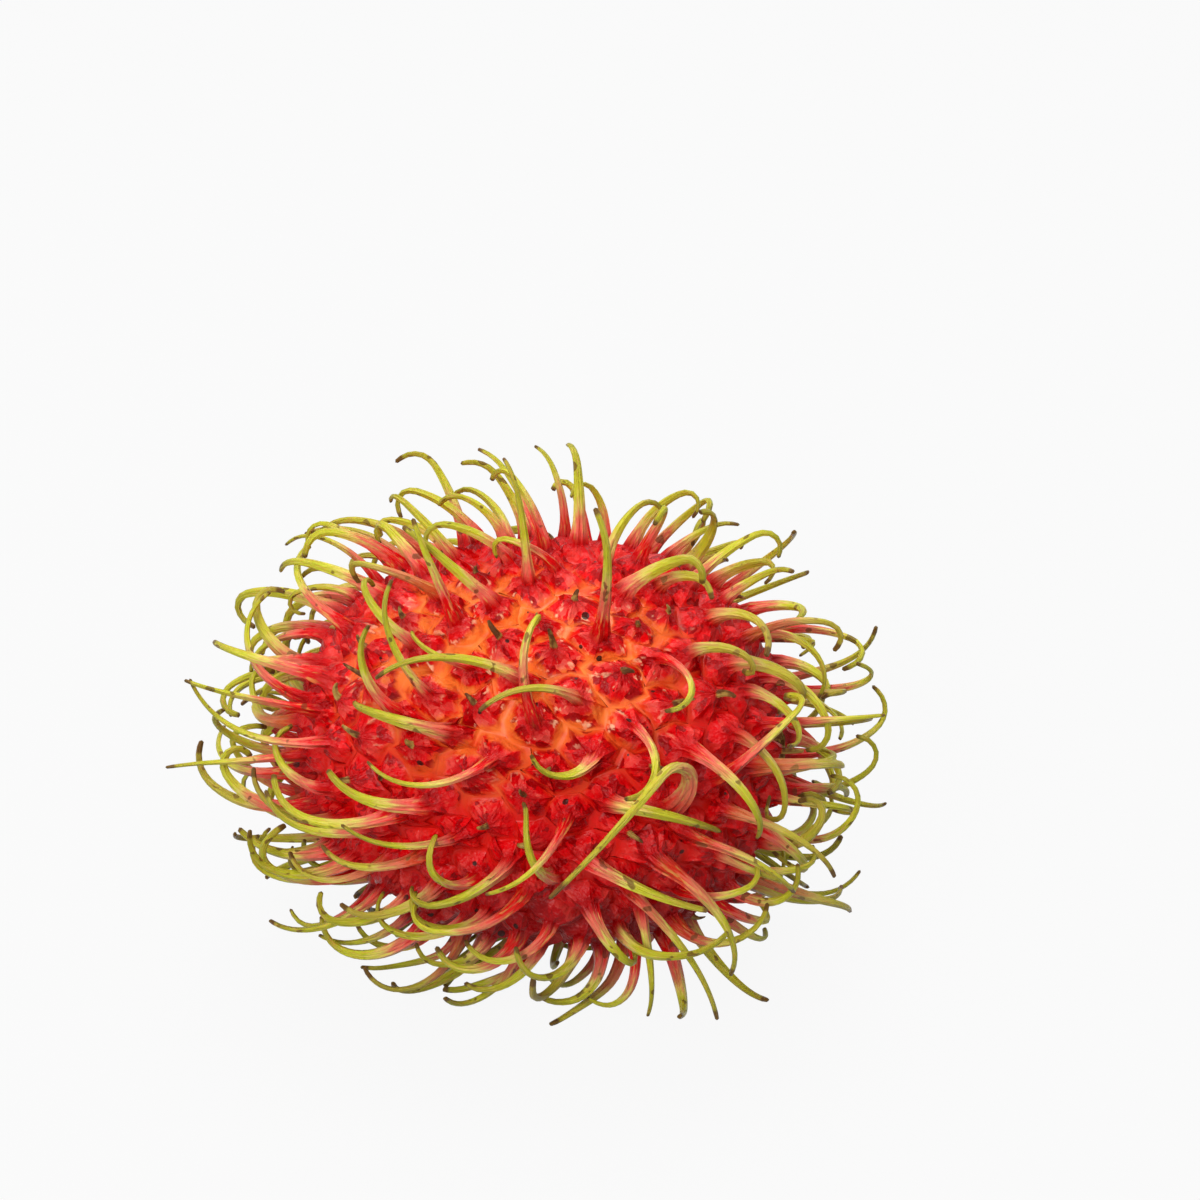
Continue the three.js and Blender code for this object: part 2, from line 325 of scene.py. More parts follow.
@dataclass
class Growth:
    """Sets the sites out over the rind, and grows a spine on each, clear of all the others."""

    rind: Rind = field(default_factory=Rind)
    site_count: int = 320
    site_jitter: float = 0.035
    mound_height: float = 1.3
    spine_length: float = 14.0
    length_swing: float = 0.22
    stub_length: float = 2.8
    stub_swing: float = 0.4
    girth_swing: float = 0.18
    collar_radius: float = 0.95
    shaft_radius: float = 0.52
    tip_radius: float = 0.25
    collar_share: float = 0.3
    taper_from: float = 0.15
    bend_power: float = 1.4
    twist_power: float = 1.5
    hook_from: float = 0.65
    top_share: float = 0.82
    gap: float = 0.25
    landing: float = 3.0
    settle: float = 0.7
    pressed: float = 0.2
    step: float = 0.5
    stump_steps: int = 5
    turns: tuple[float, ...] = (0, 13, -13, 26, -26, 39, -39, 52, -52, 65, -65, 80, -80)
    trims: tuple[float, ...] = (1, 0.8, 0.6, 0.45, 0.3)
    comb: Comb = field(default_factory=Comb)

    def site_direction(self, i: int) -> Vector:
        """Returns the direction of site i: a spiral from end to end, each site nudged off it."""
        nudge = shake(i, Draw.NUDGE) * self.site_jitter
        spiral = direction_at(1 - (2 * i + 1) / self.site_count, i * GOLDEN_ANGLE)
        return (spiral + nudge).normalized()

    def combing(self, i: int, u: Vector) -> Vector:
        """Returns the heading of a spine combed at u."""
        comb = self.comb
        parting = lerp(comb.parting, comb.low_parting, smoothstep(-u.z, *comb.low_zone))
        outwards = math.tanh((u.x - parting) / comb.breadth)
        rise = lerp(comb.rise_below, comb.rise_above, smoothstep(u.z, *comb.rise_zone))
        across = comb.wind_swing * swing(i, Draw.WIND)
        wind = Vector((outwards, across, rise + comb.rise_swing * swing(i, Draw.RISE)))
        normal = self.rind.normal(u)
        straying = math.radians(comb.ruffle * swing(i, Draw.RUFFLE))
        return turned(on_plane(wind, normal), normal, straying)

    def wild_habit(self, i: int, u: Vector) -> Habit:
        """Returns how site i grows, unless its spine is one that stands out."""
        comb = self.comb
        up, front = comb.bare_side
        bare = smoothstep(up * u.z - front * u.y, *comb.bare_zone)
        up, front = comb.front_side
        facing = smoothstep(up * u.z - front * u.y, *comb.front_zone)
        upright = smoothstep(u.z, *comb.top_zone)
        broken = chance(i, Draw.BREAK) < lerp(*comb.broken_share, bare)
        broken = broken or i == self.site_count - 1
        longer = swing(i, Draw.LENGTH)
        stub = self.stub_length * (1 + self.stub_swing * longer)
        whole = self.spine_length * lerp(1, self.top_share, upright)
        whole *= 1 + self.length_swing * longer
        lean = lerp(comb.lean, comb.front_lean, facing)
        bend = lerp(comb.bend, comb.top_bend, upright) + comb.bend_swing * swing(i, Draw.BEND)
        hook = comb.most_hook * chance(i, Draw.HOOK) ** lerp(*comb.hook_power, upright)
        return Habit(
            broken=broken,
            length=stub if broken else whole,
            heading=self.combing(i, u),
            lean=lean + comb.lean_swing * swing(i, Draw.LEAN),
            bend=bend * comb.stub_bend if broken else bend,
            hook=0 if broken else hook * smoothstep(u.z, *comb.hook_zone),
            twist=comb.twist + comb.twist_swing * swing(i, Draw.TWIST),
            girth=1 + self.girth_swing * swing(i, Draw.GIRTH),
        )

    def standout_habit(self, shape: Standout, normal: Vector) -> Habit:
        """Returns how a spine that stands out grows on a site that faces this way."""
        return Habit(
            broken=False,
            length=shape.length,
            heading=turned(on_plane(X, normal), normal, math.radians(shape.heading)),
            lean=shape.lean,
            bend=shape.bend,
            hook=shape.hook,
            twist=shape.twist,
            quick=shape.quick,
            stands_out=True,
        )

    def make_sites(self) -> list[Site]:
        """Returns all the sites, with the habit of each."""
        sites = []
        for i in range(self.site_count):
            u = self.site_direction(i)
            habit = self.wild_habit(i, u)
            sites.append(Site(i, u, self.rind.normal(u), self.rind.point(u), habit))
        for shape in STANDOUTS:
            aim = direction_at(shape.along, math.radians(shape.around))
            nearest = max(sites, key=lambda site: site.u.dot(aim))
            habit = self.standout_habit(shape, nearest.normal)
            nearest.habit = replace(habit, girth=nearest.habit.girth)
        return sites

    def radius(self, habit: Habit, share: float) -> float:
        """Returns a spine's radius at a share of its length."""
        t = self.collar_share * share if habit.broken else share
        shaft = lerp(self.shaft_radius, self.tip_radius, smoothstep(t, self.taper_from, 1))
        collar = smoothstep(t, 0, self.collar_share)
        return habit.girth * lerp(self.collar_radius, shaft, collar)

    def glide(self, way: Vector, away: Vector, height: float, along: Vector) -> Vector:
        """Turns a direction that runs into a near surface so that it runs along it.

        Args:
            way: The direction.
            away: The direction that leaves the surface.
            height: How far off the surface is.
            along: The direction along the surface.

        Returns:
            The turned direction.
        """
        lost = max(0.0, -way.dot(away)) * (1 - smoothstep(height, 0, self.landing))
        return (way + away * lost + along * lost).normalized()

    def grow(self, site: Site, turn: float = 0, trim: float = 1) -> Course:
        """Grows the spine of a site.

        Args:
            site: The site.
            turn: How far its heading is turned, in degrees.
            trim: The share of its length that it reaches.

        Returns:
            The spine's course.
        """
        habit = site.habit
        start = turned(habit.heading, site.normal, math.radians(turn))
        side = site.normal.cross(start)
        steps = math.floor(habit.length * trim / self.step + 0.5)
        points = [site.root]
        radii = [self.radius(habit, 0)]
        for k in range(steps):
            at = points[k]
            t = (k + 0.5) / steps
            risen = smoothstep(k * self.step, 0, 2 * self.mound_height)
            hooked = smoothstep(t, self.hook_from, 1)
            curl = math.radians(
                habit.lean * risen + habit.bend * t**self.bend_power + habit.hook * hooked
            )
            spin = math.radians(habit.twist * min(1, t / habit.quick) ** self.twist_power)
            sideways = start * math.cos(spin) + side * math.sin(spin)
            way = site.normal * math.cos(curl) + sideways * math.sin(curl)
            if k * self.step > self.mound_height:
                u = (at - self.rind.middle).normalized()
                height = (at - self.rind.point(u)).length - self.mound_height - radii[k]
                way = self.glide(way, self.rind.normal(u), height, sideways)
            level = Vector((sideways.x, sideways.y, 0)).normalized()
            way = self.glide(way, UP, at.z + self.settle, level)
            radius = self.radius(habit, (k + 1) / steps)
            after = at + way * self.step
            after.z = max(after.z, self.pressed * radius)
            points.append(after)
            radii.append(radius)
        return Course(points, radii)

    def grow_all(self) -> list[Site]:
        """Grows every spine, the ones that stand out first, each round the ones before it."""
        sites = self.make_sites()
        crowd = Crowd(sites, self)
        for site in sites:
            crowd.place(site, self.grow(site).stump(self.stump_steps))
        for site in sorted(sites, key=lambda one: not one.habit.stands_out):
            for trim, turn in product(self.trims, self.turns):
                course = self.grow(site, turn, trim)
                if crowd.is_clear(site, course):
                    break
            crowd.place(site, course)
        return sites


@dataclass
class Crowd:
    """Where every spine runs so far, to keep the next one clear of them."""

    sites: list[Site]
    growth: Growth
    capacity: int = 64

    def __post_init__(self) -> None:
        """Makes room for each site's course."""
        count = len(self.sites)
        self.points = np.full((count, self.capacity, 3), FAR)
        self.radii = np.zeros((count, self.capacity))

    def place(self, site: Site, course: Course) -> None:
        """Puts a course on its site, in place of the one that it had."""
        site.course = course
        count = len(course.points)
        self.points[site.index] = FAR
        self.points[site.index, :count] = [tuple(point) for point in course.points]
        self.radii[site.index, :count] = course.radii

    def is_clear(self, site: Site, course: Course) -> bool:
        """Tells if a course keeps clear of every other site's. Two stumps always do."""
        points = np.array([tuple(point) for point in course.points])
        radii = np.array(course.radii)
        reach = (self.capacity + len(points)) * self.growth.step
        roots = self.points[:, 0]
        near = np.linalg.norm(roots - points[0], axis=1) < reach
        near[site.index] = False
        others = self.points[near]
        apart = np.linalg.norm(points[:, None, None] - others[None], axis=3)
        wanted = radii[:, None, None] + self.radii[near][None] + self.growth.gap
        stumps = np.arange(len(points))[:, None, None] < self.growth.stump_steps
        stumps = stumps & (np.arange(self.capacity)[None, None] < self.growth.stump_steps)
        return bool(np.all((apart > wanted) | stumps))


# ---- The skin ----


@dataclass(frozen=True)
class Hoop:
    """A ring that the skin passes through, round a spine or the scar."""

    centre: Vector
    across: Vector
    side: Vector
    radius: float
    share: float
    reach: float

    def point(self, angle: float, swell: float) -> Vector:
        """Returns the point at an angle, swell times the hoop's radius from its centre."""
        spoke = self.across * math.cos(angle) + self.side * math.sin(angle)
        return self.centre + spoke * (self.radius * swell)


@dataclass(frozen=True)
class Layers:
    """The values that the skin keeps at each vertex, to shape it and for its finish.

    site and corner say where a vertex belongs, and rib is 1 on a ridge and -1 between two. rise
    goes from 0 in the grooves to 1 where a spine leaves its mound, and reach from there to 1 at
    its tip. seed, dry and bark are the same all over a spine, and grain runs along it.
    """

    site: bmesh.types.BMLayerItem
    corner: bmesh.types.BMLayerItem
    rib: bmesh.types.BMLayerItem
    rise: bmesh.types.BMLayerItem
    reach: bmesh.types.BMLayerItem
    seed: bmesh.types.BMLayerItem
    dry: bmesh.types.BMLayerItem
    bark: bmesh.types.BMLayerItem
    grain: bmesh.types.BMLayerItem

    @classmethod
    def of(cls, bm: bmesh.types.BMesh) -> "Layers":
        """Finds the layers of a mesh that has them."""
        kinds = {"site": "int", "corner": "int", "grain": "float_vector"}
        names = cls.__dataclass_fields__
        return cls(**{n: getattr(bm.verts.layers, kinds.get(n, "float"))[n] for n in names})

    @classmethod
    def add_to(cls, mesh: bpy.types.Mesh) -> None:
        """Gives a mesh that isn't being edited the layers."""
        kinds = {"site": "INT", "corner": "INT", "grain": "FLOAT_VECTOR"}
        for name in cls.__dataclass_fields__:
            mesh.attributes.new(name, kinds.get(name, "FLOAT"), "POINT")


def cells_group() -> bpy.types.NodeTree:
    """Builds the geometry nodes that put a cell round each vertex of a closed mesh."""
    group = bpy.data.node_groups.new("Cells", "GeometryNodeTree")
    for way in ("INPUT", "OUTPUT"):
        group.interface.new_socket("Geometry", in_out=way, socket_type="NodeSocketGeometry")
    given = group.nodes.new("NodeGroupInput")
    dual = group.nodes.new("GeometryNodeDualMesh")
    taken = group.nodes.new("NodeGroupOutput")
    group.links.new(given.outputs[0], dual.inputs[0])
    group.links.new(dual.outputs[0], taken.inputs[0])
    return group


@dataclass
class Skin:
    """The whole fruit's skin, as one closed mesh of mounds, grooves, spines and the scar.

    The mounds' profile gives a share of the way from a spine to its groove, and a height there.
    The scar's profile gives a radius, and a height there.
    """

    growth: Growth = field(default_factory=Growth)
    mound_profile: tuple[Pair, ...] = (
        (0.95, -0.055),
        (0.84, -0.1),
        (0.69, 0.01),
        (0.5, 0.15),
        (0.32, 0.17),
        (0.16, 0.1),
    )
    roundness: float = 0.3
    ridge_height: float = 0.24
    ridge_power: float = 3.0
    rib_share: float = 0.6
    groove_rise: float = -0.1
    groove_depth: float = 0.03
    border_jitter: float = 0.034
    crease_angle: float = 33.0
    hoop_spacing: float = 0.75
    fewest_hoops: int = 4
    flatness: float = 0.18
    rib_height: float = 0.13
    blunt_share: float = 0.22
    blunt_radius: float = 0.82
    twig_radius: float = 0.24
    twig_taper: Pair = (1.4, 0.7)
    twig_curl: float = 1.1
    grain_stretch: float = 0.24
    grain_spread: float = 50.0
    fan: float = 1.1
    scar_profile: tuple[Pair, ...] = (
        (1.95, 0.62),
        (1.7, 0.9),
        (1.35, 0.84),
        (1.1, 0.5),
        (0.5, 0.55),
        (0.25, 0.4),
    )

    def build(self) -> bpy.types.Object:
        """Grows the fruit and builds its skin.

        Returns:
            The finished object, in metres, at the origin.
        """
        self.sites = self.growth.grow_all()
        self.hoops = [self.scar_hoops(self.sites[0])]
        self.hoops += [self.spine_hoops(site) for site in self.sites[1:]]
        LOG.info("grew %d spines", len(self.hoops) - 1)
        skin = self.cell_ball()
        self.lay_cells(skin.data)
        self.raise_cells(skin.data)
        self.close_ends(skin.data)
        bpy.ops.object.mode_set(mode="OBJECT")
        skin.scale = (MM, MM, MM)
        bpy.ops.object.transform_apply(location=False, rotation=False, scale=True)
        bpy.ops.object.shade_smooth_by_angle(angle=math.radians(self.crease_angle))
        return skin

    def start_frame(self, site: Site) -> tuple[Vector, Vector]:
        """Returns two directions that are square to each other and to a site's normal."""
        across = on_plane(X if abs(site.normal.x) < 0.9 else UP, site.normal)
        return across, site.normal.cross(across)

    def spine_hoops(self, site: Site) -> list[Hoop]:
        """Returns the hoops of a site's spine, from its collar to its tip."""
        points = site.course.points
        radii = site.course.radii
        last = len(points) - 1
        length = last * self.growth.step
        collar = self.growth.mound_height
        count = max(self.fewest_hoops, round((length - collar) / self.hoop_spacing))
        axis = site.normal
        across = self.start_frame(site)[0]
        hoops = []
        shares = [*(j / count for j in range(count)), 1 - self.blunt_share / count, 1]
        for share in shares:
            place = lerp(collar / length, 1, share) * last
            k = min(int(place), last - 1)
            ahead = (points[min(k + 2, last)] - points[max(k - 1, 0)]).normalized()
            across = on_plane(axis.rotation_difference(ahead) @ across, ahead)
            axis = ahead
            radius = lerp(radii[k], radii[k + 1], place - k)
            centre = points[k].lerp(points[k + 1], place - k)
            if site.habit.broken:
                radius = self.twig_radius * lerp(*self.twig_taper, share)
                centre += across * (share**2 * self.twig_curl * swing(site.index, Draw.CURL))
            if share == shares[-2]:
                radius *= self.blunt_radius
            reach = share * (length - collar)
            hoops.append(Hoop(centre, across, ahead.cross(across), radius, share, reach))
        return hoops

    def scar_hoops(self, site: Site) -> list[Hoop]:
        """Returns the hoops of the scar: up its bark, over its rim and down into its middle."""
        across, side = self.start_frame(site)
        hoops = []
        for j, (radius, height) in enumerate(self.scar_profile):
            centre = site.root + site.normal * height
            share = j / (len(self.scar_profile) - 1)
            hoops.append(Hoop(centre, across, side, radius, share, share))
        return hoops

    def cell_ball(self) -> bpy.types.Object:
        """Divides a ball into cells, one round each site."""
        mesh = bpy.data.meshes.new("rambutan_skin")
        mesh.from_pydata([site.u for site in self.sites], [], [])
        skin = bpy.data.objects.new("rambutan_skin", mesh)
        bpy.context.scene.collection.objects.link(skin)
        bpy.ops.object.select_all(action="DESELECT")
        skin.select_set(True)
        bpy.context.view_layer.objects.active = skin
        bpy.ops.object.mode_set(mode="EDIT")
        bpy.ops.mesh.select_all(action="SELECT")
        bpy.ops.mesh.convex_hull(join_triangles=False)
        bpy.ops.object.mode_set(mode="OBJECT")
        bpy.ops.object.modifier_add(type="NODES")
        cells = skin.modifiers[-1]
        cells.node_group = cells_group()
        bpy.ops.object.modifier_apply(modifier=cells.name)
        Layers.add_to(skin.data)
        bpy.ops.object.mode_set(mode="EDIT")
        bpy.ops.mesh.select_mode(type="FACE")
        bpy.ops.mesh.select_all(action="SELECT")
        bpy.ops.mesh.normals_make_consistent(inside=False)
        return skin

    def select_faces(self, bm: bmesh.types.BMesh, wanted: set[bmesh.types.BMFace]) -> None:
        """Selects these faces and nothing else."""
        for face in bm.faces:
            face.select_set(False)
        for face in wanted:
            face.select_set(True)

    def lay_cells(self, mesh: bpy.types.Mesh) -> None:
        """Splits the cells' sides, lays their borders in the grooves, and gives each its site."""
        bm = bmesh.from_edit_mesh(mesh)
        bmesh.ops.bisect_edges(bm, edges=list(bm.edges), cuts=1)
        layers = Layers.of(bm)
        rind = self.growth.rind
        for k, vert in enumerate(bm.verts):
            nudge = shake(k, Draw.BORDER) * self.border_jitter
            u = (vert.co.normalized() + nudge).normalized()
            vert[layers.rib] = 1 if len(vert.link_edges) == 3 else -1
            vert[layers.rise] = self.groove_rise
            vert.co = rind.point(u) - rind.normal(u) * self.groove_depth
        self.select_faces(bm, set(bm.faces))
        bmesh.update_edit_mesh(mesh)
        bpy.ops.mesh.extrude_faces_indiv()
        bm = bmesh.from_edit_mesh(mesh)
        layers = Layers.of(bm)
        tree = KDTree(len(self.sites))
        for site in self.sites:
            tree.insert(site.root, site.index)
        tree.balance()
        self.feet = {}
        for cap in [face for face in bm.faces if face.select]:
            index = tree.find(cap.calc_center_median())[1]
            root = self.sites[index].root
            lift = self.sites[index].normal * self.groove_depth
            feet = [vert.co + lift for vert in cap.verts]
            girth = sum((foot - root).length for foot in feet) / len(feet)
            for number, (vert, foot) in enumerate(zip(cap.verts, feet), start=1):
                vert[layers.site] = index
                vert[layers.corner] = number
                rounding = lerp(1, girth / (foot - root).length, self.roundness)
                self.feet[index, number] = root + (foot - root) * rounding
                self.place(vert, 0, layers)
        bmesh.update_edit_mesh(mesh)

    def rings_of(self, index: int) -> int:
        """Returns how many rings a site's mound and spine have."""
        return len(self.mound_profile) + len(self.hoops[index])

    def raise_cells(self, mesh: bpy.types.Mesh) -> None:
        """Extrudes each cell into its mound and its spine, or into the scar, ring by ring."""
        for ring in range(1, max(self.rings_of(site.index) for site in self.sites)):
            bm = bmesh.from_edit_mesh(mesh)
            layers = Layers.of(bm)
            caps = {face for face in bm.faces if len(face.verts) > 4}
            self.select_faces(
                bm, {cap for cap in caps if self.rings_of(cap.verts[0][layers.site]) > ring}
            )
            bmesh.update_edit_mesh(mesh)
            bpy.ops.mesh.extrude_faces_indiv()
            bm = bmesh.from_edit_mesh(mesh)
            layers = Layers.of(bm)
            for cap in bm.faces:
                if cap.select:
                    for vert in cap.verts:
                        self.place(vert, ring, layers)
            bmesh.update_edit_mesh(mesh)

    def place(self, vert: bmesh.types.BMVert, ring: int, layers: Layers) -> None:
        """Puts a vertex where its ring runs, and writes its values.

        Args:
            vert: The vertex.
            ring: The number of its ring, counted from the groove.
            layers: The skin's layers.
        """
        index = vert[layers.site]
        corner = vert[layers.corner]
        site = self.sites[index]
        habit = site.habit
        foot = self.feet[index, corner]
        across, side = self.start_frame(site)
        spoke = foot - site.root
        angle = math.atan2(spoke.dot(side), spoke.dot(across))
        in_mound = ring < len(self.mound_profile)
        hoop = self.hoops[index][0 if in_mound else ring - len(self.mound_profile)]
        rib = vert[layers.rib]
        bark = 1 if index == 0 else 0
        turn = 6 * chance(index, Draw.FLAT)
        swell = 1 + self.flatness * math.cos(2 * angle + turn) * (1 - bark)
        swell += self.rib_height * rib * (1 - hoop.share)
        point = hoop.point(angle, swell)
        depth = hoop.reach * self.grain_stretch
        rise = 1.0
        if in_mound:
            spread, lift = self.mound_profile[ring]
            wilful = swing(index * MOST_CORNERS + corner, Draw.RIDGE)
            ridge = self.ridge_height * (self.rib_share * rib + wilful)
            lift += ridge * (4 * spread * (1 - spread)) ** self.ridge_power * (1 - bark)
            point += (foot - point) * spread + site.normal * lift
            depth = -spread * self.fan
            rise = 1 - spread
        point.z = max(point.z, 0)
        vert.co = point
        vert[layers.rise] = rise
        vert[layers.reach] = 0 if in_mound else hoop.share
        vert[layers.seed] = chance(index, Draw.SEED)
        vert[layers.dry] = 1 if habit.broken else 0
        vert[layers.bark] = bark
        start = Vector([chance(index, Draw.GRAIN + k) for k in range(3)]) * self.grain_spread
        vert[layers.grain] = start + Vector((math.cos(angle), math.sin(angle), depth))

    def close_ends(self, mesh: bpy.types.Mesh) -> None:
        """Draws each spine's last ring together into its tip, and turns all faces outwards."""
        bm = bmesh.from_edit_mesh(mesh)
        self.select_faces(bm, {face for face in bm.faces if len(face.verts) > 4})
        bmesh.update_edit_mesh(mesh)
        bpy.ops.mesh.merge(type="COLLAPSE")
        bpy.ops.mesh.select_all(action="SELECT")
        bpy.ops.mesh.normals_make_consistent(inside=False)


# ---- The finish ----


def shade(red: int, green: int, blue: int) -> tuple[float, float, float, float]:
    """Turns a colour on the screen's scale, 0 to 255, into the scene's linear one."""
    parts = [part / 255 for part in (red, green, blue)]
    linear = [p / 12.92 if p <= 0.04045 else ((p + 0.055) / 1.055) ** 2.4 for p in parts]
    return (*linear, 1.0)


class Tint(Enum):
    """The colours of the fruit. DEEP also paints shade, and ROSE, CREAM and STRAW partly paint
    highlights.
    """

    CRIMSON = shade(220, 2, 10)
    # DEEP is the skin's own dark red, and also the shade painted on the underside.
    DEEP = shade(156, 0, 4)
    ORANGE = shade(240, 120, 46)
    RUST = shade(208, 28, 16)
    # ROSE on the mounds' facets is partly the skin's pink patches, partly painted highlight.
    ROSE = shade(238, 96, 84)
    # CREAM is the seams' own colour, and on the mounds' flanks partly painted highlight.
    CREAM = shade(246, 186, 146)
    SALMON = shade(222, 122, 88)
    # STRAW is the spines' own colour, and in their pale streaks partly painted highlight.
    STRAW = shade(224, 205, 102)
    LIME = shade(202, 201, 46)
    OLIVE = shade(166, 159, 36)
    HUSK = shade(176, 142, 70)
    BROWN = shade(100, 58, 26)
    SOOT = shade(34, 16, 10)


Socket = bpy.types.NodeSocket
Sockets = bpy.types.bpy_prop_collection


@dataclass
class Wiring:
    """Adds nodes to a node tree and wires them, one short call each."""

    tree: bpy.types.NodeTree

    def node(self, kind: str, **inputs: object) -> bpy.types.Node:
        """Adds a node.

        Args:
            kind: The node's type.
            inputs: Its inputs by name with _ for a space, each a value or a socket to wire.

        Returns:
            The node.
        """
        made = self.tree.nodes.new(kind)
        for name, value in inputs.items():
            self.feed(made.inputs[name.replace("_", " ")], value)
        return made

    def group(self, tree: bpy.types.NodeTree, *inputs: object) -> Sockets:
        """Places a node group, feeds its inputs in their order, and returns its outputs."""
        made = self.tree.nodes.new("ShaderNodeGroup")
        made.node_tree = tree
        for socket, value in zip(made.inputs, inputs):
            self.feed(socket, value)
        return made.outputs

    def feed(self, socket: Socket, value: object) -> None:
        """Wires a socket to an input, or sets the input to a value."""
        if isinstance(value, bpy.types.NodeSocket):
            self.tree.links.new(value, socket)
        else:
            socket.default_value = value

    def layer(self, name: str, output: str = "Fac") -> Socket:
        """Reads one of the skin's layers."""
        made = self.tree.nodes.new("ShaderNodeAttribute")
        made.attribute_name = name
        return made.outputs[output]

    def sum(self, operation: str, first: object, second: object = 0.0) -> Socket:
        """Does one sum, such as MAXIMUM."""
        made = self.tree.nodes.new("ShaderNodeMath")
        made.operation = operation
        self.feed(made.inputs[0], first)
        self.feed(made.inputs[1], second)
        return made.outputs[0]

    def plus(self, first: object, second: object) -> Socket:
        """Adds two numbers."""
        return self.sum("ADD", first, second)

    def minus(self, first: object, second: object) -> Socket:
        """Takes the second number from the first."""
        return self.sum("SUBTRACT", first, second)

    def times(self, first: object, second: object) -> Socket:
        """Multiplies two numbers."""
        return self.sum("MULTIPLY", first, second)

    def vector_sum(self, operation: str, *parts: object) -> Socket:
        """Does one sum on vectors, such as MULTIPLY or DOT_PRODUCT."""
        made = self.tree.nodes.new("ShaderNodeVectorMath")
        made.operation = operation
        for socket, part in zip(made.inputs, parts):
            self.feed(socket, part)
        return made.outputs["Value" if operation == "DOT_PRODUCT" else "Vector"]

    def between(self, value: Socket, low: object, high: object) -> Socket:
        """Returns 0 where a value is below low, 1 where it is above high, eased between them."""
        made = self.node("ShaderNodeMapRange", Value=value, From_Min=low, From_Max=high)
        made.interpolation_type = "SMOOTHSTEP"
        return made.outputs["Result"]

    def mix(self, share: object, first: object, second: object) -> Socket:
        """Mixes two colours, each a tint or a socket, by a share."""
        made = self.tree.nodes.new("ShaderNodeMix")
        made.data_type = "RGBA"
        self.feed(made.inputs[0], share)
        self.feed(made.inputs[6], first.value if isinstance(first, Tint) else first)
        self.feed(made.inputs[7], second.value if isinstance(second, Tint) else second)
        return made.outputs[2]

    def ramp(self, value: Socket, stops: tuple[tuple[float, Tint], ...]) -> Socket:
        """Turns a value into a colour, through the tints at these stops."""
        made = self.node("ShaderNodeValToRGB", Fac=value)
        elements = made.color_ramp.elements
        while len(elements) < len(stops):
            elements.new(0.5)
        for element, (place, tint) in zip(elements, stops):
            element.position = place
            element.color = tint.value
        return made.outputs["Color"]

    def noise(self, vector: Socket, scale: object, detail: float = 2.0) -> Socket:
        """Returns noise from 0 to 1 over a vector."""
        made = self.node("ShaderNodeTexNoise", Vector=vector, Scale=scale, Detail=detail)
        return made.outputs["Fac"]


def new_group(
    name: str, inputs: tuple[str, ...], outputs: tuple[str, ...]
) -> tuple[Wiring, Sockets, Sockets]:
    """Makes a node group that has only its way in and its way out.

    Args:
        name: Its name.
        inputs: The names of its inputs. One called Vector takes a vector, and the rest numbers.
        outputs: The names of its outputs, all numbers.

    Returns:
        The group's wiring, the sockets that its inputs come in by, and those that its outputs
        leave by.
    """
    group = bpy.data.node_groups.new(name, "ShaderNodeTree")
    for label in inputs:
        kind = "NodeSocketVector" if label == "Vector" else "NodeSocketFloat"
        group.interface.new_socket(label, in_out="INPUT", socket_type=kind)
    for label in outputs:
        group.interface.new_socket(label, in_out="OUTPUT", socket_type="NodeSocketFloat")
    given = group.nodes.new("NodeGroupInput").outputs
    taken = group.nodes.new("NodeGroupOutput").inputs
    return Wiring(group), given, taken


def flecks_group() -> bpy.types.NodeTree:
    """Builds the group that scatters small round flecks, a few here and there."""
    wiring, given, taken = new_group("Flecks", ("Vector", "Scale", "Size", "Share"), ("Mask",))
    cells = wiring.node("ShaderNodeTexVoronoi", Vector=given["Vector"], Scale=given["Scale"])
    split = wiring.node("ShaderNodeSeparateColor", Color=cells.outputs["Color"]).outputs
    chosen = wiring.sum("LESS_THAN", split["Red"], given["Share"])
    size = wiring.times(given["Size"], split["Green"])
    inside = wiring.sum("LESS_THAN", cells.outputs["Distance"], size)
    wiring.feed(taken["Mask"], wiring.times(chosen, inside))
    return wiring.tree


def facets_group() -> bpy.types.NodeTree:
    """Builds the group that crumples a surface into facets, each with a tone of its own."""
    wiring, given, taken = new_group("Facets", ("Vector", "Scale", "Waver"), ("Tone", "Height"))
    noise = wiring.node("ShaderNodeTexNoise", Vector=given["Vector"], Scale=given["Scale"])
    shifted = wiring.vector_sum(
        "MULTIPLY_ADD", noise.outputs["Color"], given["Waver"], given["Vector"]
    )
    cells = wiring.node("ShaderNodeTexVoronoi", Vector=shifted, Scale=given["Scale"])
    split = wiring.node("ShaderNodeSeparateColor", Color=cells.outputs["Color"]).outputs
    wiring.feed(taken["Tone"], split["Red"])
    wiring.feed(taken["Height"], cells.outputs["Distance"])
    return wiring.tree


def streaks_group() -> bpy.types.NodeTree:
    """Builds the group that draws streaks along the grain, of a given share and softness."""
    wiring, given, taken = new_group(
        "Streaks", ("Vector", "Scale", "Level", "Softness"), ("Mask",)
    )
    noise = wiring.noise(given["Vector"], given["Scale"], 3.0)
    end = wiring.plus(given["Level"], given["Softness"])
    wiring.feed(taken["Mask"], wiring.between(noise, given["Level"], end))
    return wiring.tree


@dataclass(frozen=True)
class Zones:
    """What the colour of a mound and of its groove depends on, each from 0 to 1.

    rise goes from the groove to the spine. tone is that of the facets, and fine that of the
    smallest ones. saddle is 1 on the orange saddle, and low is 1 on the underside, where shade
    is painted in.
    """

    rise: Socket
    tone: Socket
    fine: Socket
    saddle: Socket
    low: Socket


